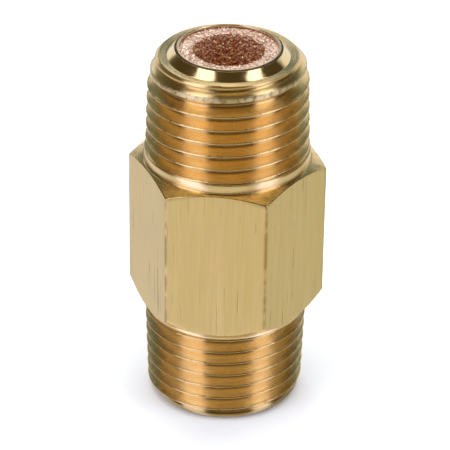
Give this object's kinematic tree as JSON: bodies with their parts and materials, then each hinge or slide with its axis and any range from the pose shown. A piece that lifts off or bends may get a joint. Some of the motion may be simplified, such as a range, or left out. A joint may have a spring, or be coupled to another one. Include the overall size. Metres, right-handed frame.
{
  "type": "in-line pneumatic muffler",
  "caption": "Hexagonal brass muffler body with a male taper pipe thread at each end and a sintered bronze cup rolled into its outlet to quiet exhaust air.",
  "frame": {"origin": "centre of the inlet end face, on the flow axis", "axes": "+Z along the flow axis, from the inlet end towards the outlet with the sintered cup; one pair of wrench flats faces -Y and +Y"},
  "size_m": [0.0256, 0.0222, 0.05],
  "materials": {
    "brass_body": "machined, satin drawn flats and bright turned ends",
    "sintered_bronze": "rough sintered spherical powder"
  },
  "bodies": {
    "root": {"hex_body": "brass_body", "sintered_cup": "sintered_bronze"}
  },
  "joints": []
}
